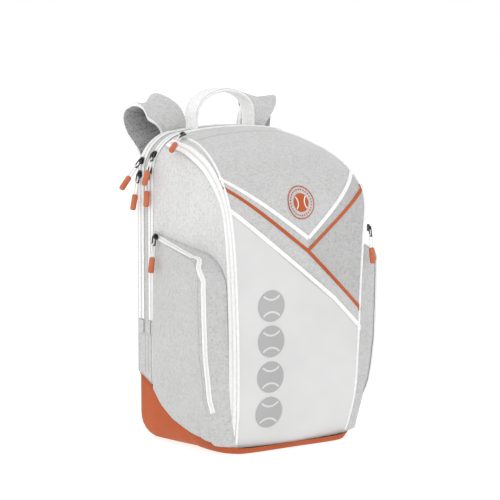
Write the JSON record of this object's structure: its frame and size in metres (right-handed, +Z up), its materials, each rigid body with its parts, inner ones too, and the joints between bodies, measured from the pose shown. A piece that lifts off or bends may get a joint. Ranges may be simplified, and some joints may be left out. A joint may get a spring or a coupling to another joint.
{
  "type": "racket backpack",
  "caption": "Boxy sports backpack with a padded racket compartment, gusseted side pockets, carry handle, shoulder straps and zip pulls on sliding zips.",
  "frame": {"origin": "middle of the flat underside, on the surface the bag stands on", "axes": "+Z up, -Y is the front panel, +Y is the wearer's back, +X is to the right seen from the front"},
  "size_m": [0.3672, 0.2896, 0.5646],
  "materials": {
    "body_fabric": "light heather grey polyester, woven",
    "strap_fabric": "heather grey woven face with a spacer-mesh underside",
    "base_fabric": "burnt orange coated fabric",
    "lining": "plain grey lining over foam",
    "back_mesh": "grey spacer mesh over foam",
    "coated_fabric": "smooth coated white-grey fabric",
    "white_tape": "white woven tape and zip coil",
    "webbing": "white polyester webbing",
    "buckle_plastic": "black moulded acetal",
    "black_metal": "black lacquered zinc",
    "pull_cord": "white braided cord",
    "grip_rubber": "moulded orange rubber"
  },
  "bodies": {
    "pack": {"rear_shell": "body_fabric", "base": "base_fabric", "laptop_divider": "lining", "back_pads": "back_mesh", "lumbar_pad": "back_mesh", "laptop_zip": "white_tape", "main_zip_rear": "white_tape", "strap_roots": "strap_fabric", "handle_tabs": "webbing", "webbing_anchors": "webbing"},
    "front_lid": {"front_shell": "body_fabric", "racket_divider": "lining", "pocket_left": "body_fabric", "pocket_right": "body_fabric", "pocket_zips": "white_tape", "racket_zips": "white_tape", "main_zip_front": "white_tape", "lower_panel": "coated_fabric", "white_stripes": "white_tape", "orange_stripes": "base_fabric", "badge": "coated_fabric"},
    "carry_handle": {"handle": "webbing"},
    "left_strap": {"strap_left": "strap_fabric", "ladder_lock_left": "buckle_plastic", "webbing_left": "webbing"},
    "right_strap": {"strap_right": "strap_fabric", "ladder_lock_right": "buckle_plastic", "webbing_right": "webbing"},
    "laptop_upper_slider": {"laptop_upper_slider": "black_metal"},
    "laptop_upper_pull": {"laptop_upper_ring": "black_metal", "laptop_upper_cord": "pull_cord", "laptop_upper_grip": "grip_rubber"},
    "laptop_lower_slider": {"laptop_lower_slider": "black_metal"},
    "laptop_lower_pull": {"laptop_lower_ring": "black_metal", "laptop_lower_cord": "pull_cord", "laptop_lower_grip": "grip_rubber"},
    "main_upper_slider": {"main_upper_slider": "black_metal"},
    "main_upper_pull": {"main_upper_ring": "black_metal", "main_upper_cord": "pull_cord", "main_upper_grip": "grip_rubber"},
    "main_lower_slider": {"main_lower_slider": "black_metal"},
    "main_lower_pull": {"main_lower_ring": "black_metal", "main_lower_cord": "pull_cord", "main_lower_grip": "grip_rubber"},
    "racket_left_slider": {"racket_left_slider": "black_metal"},
    "racket_left_pull": {"racket_left_ring": "black_metal", "racket_left_cord": "pull_cord", "racket_left_grip": "grip_rubber"},
    "racket_right_slider": {"racket_right_slider": "black_metal"},
    "racket_right_pull": {"racket_right_ring": "black_metal", "racket_right_cord": "pull_cord", "racket_right_grip": "grip_rubber"},
    "pocket_left_slider": {"pocket_left_slider": "black_metal"},
    "pocket_left_pull": {"pocket_left_ring": "black_metal", "pocket_left_cord": "pull_cord", "pocket_left_grip": "grip_rubber"},
    "pocket_right_slider": {"pocket_right_slider": "black_metal"},
    "pocket_right_pull": {"pocket_right_ring": "black_metal", "pocket_right_cord": "pull_cord", "pocket_right_grip": "grip_rubber"}
  },
  "joints": [
    {"name": "front_lid_open", "type": "hinge", "parent": "pack", "child": "front_lid", "pos_m": [0, -0.1085, 0.0085], "axis": [1, 0, 0], "range_deg": [0, 14]},
    {"name": "handle_fold", "type": "hinge", "parent": "pack", "child": "carry_handle", "pos_m": [0, 0.086, 0.522], "axis": [1, 0, 0], "range_deg": [0, 75]},
    {"name": "left_strap_swing", "type": "hinge", "parent": "pack", "child": "left_strap", "pos_m": [-0.107, 0.146, 0.538], "axis": [1, 0, 0], "range_deg": [0, 25], "deforming": ["webbing_left"]},
    {"name": "right_strap_swing", "type": "hinge", "parent": "pack", "child": "right_strap", "pos_m": [0.107, 0.146, 0.538], "axis": [1, 0, 0], "range_deg": [0, 25], "deforming": ["webbing_right"]},
    {"name": "laptop_upper_zip", "type": "hinge", "parent": "pack", "child": "laptop_upper_slider", "pos_m": [-0.084, 0.097, 0.432], "axis": [0, 1, 0], "range_deg": [0, 60]},
    {"name": "laptop_upper_pull_swing", "type": "hinge", "parent": "laptop_upper_slider", "child": "laptop_upper_pull", "pos_m": [-0.1517, 0.097, 0.45531], "axis": [0, 1, 0], "range_deg": [0, 60]},
    {"name": "laptop_lower_zip", "type": "slide", "parent": "pack", "child": "laptop_lower_slider", "axis": [0, 0, -1], "range_m": [0, 0.19]},
    {"name": "laptop_lower_pull_swing", "type": "hinge", "parent": "laptop_lower_slider", "child": "laptop_lower_pull", "pos_m": [-0.1556, 0.097, 0.433], "axis": [0, 1, 0], "range_deg": [0, 25]},
    {"name": "main_upper_zip", "type": "hinge", "parent": "pack", "child": "main_upper_slider", "pos_m": [-0.084, 0.07, 0.432], "axis": [0, 1, 0], "range_deg": [0, 50]},
    {"name": "main_upper_pull_swing", "type": "hinge", "parent": "main_upper_slider", "child": "main_upper_pull", "pos_m": [-0.14601, 0.07, 0.4678], "axis": [-0.1542, 0.9562, -0.2487], "range_deg": [0, 45]},
    {"name": "main_lower_zip", "type": "slide", "parent": "pack", "child": "main_lower_slider", "axis": [0, 0, -1], "range_m": [0, 0.19]},
    {"name": "main_lower_pull_swing", "type": "hinge", "parent": "main_lower_slider", "child": "main_lower_pull", "pos_m": [-0.1556, 0.07, 0.441], "axis": [0, 1, 0], "range_deg": [0, 25]},
    {"name": "racket_left_zip", "type": "slide", "parent": "front_lid", "child": "racket_left_slider", "axis": [0, -1, 0], "range_m": [0, 0.04]},
    {"name": "racket_left_pull_swing", "type": "hinge", "parent": "racket_left_slider", "child": "racket_left_pull", "pos_m": [-0.10568, 0.045, 0.50034], "axis": [-0.4891, 0.816, -0.3082], "range_deg": [0, 40]},
    {"name": "racket_right_zip", "type": "slide", "parent": "front_lid", "child": "racket_right_slider", "axis": [-0.0667, 0, -0.9978], "range_m": [0, 0.08]},
    {"name": "racket_right_pull_swing", "type": "hinge", "parent": "racket_right_slider", "child": "racket_right_pull", "pos_m": [0.14952, -0.11875, 0.345], "axis": [-0.3121, -0.9501, 0.0004], "range_deg": [0, 70]},
    {"name": "pocket_left_zip", "type": "slide", "parent": "front_lid", "child": "pocket_left_slider", "axis": [-0.106, -0.9779, -0.18], "range_m": [0, 0.09]},
    {"name": "pocket_left_pull_swing", "type": "hinge", "parent": "pocket_left_slider", "child": "pocket_left_pull", "pos_m": [-0.16106, 0.04562, 0.33711], "axis": [0, 1, 0], "range_deg": [0, 70]},
    {"name": "pocket_right_zip", "type": "slide", "parent": "front_lid", "child": "pocket_right_slider", "axis": [0.106, -0.9779, -0.18], "range_m": [0, 0.09]},
    {"name": "pocket_right_pull_swing", "type": "hinge", "parent": "pocket_right_slider", "child": "pocket_right_pull", "pos_m": [0.16106, 0.04562, 0.33711], "axis": [0, -1, 0], "range_deg": [0, 70]}
  ]
}
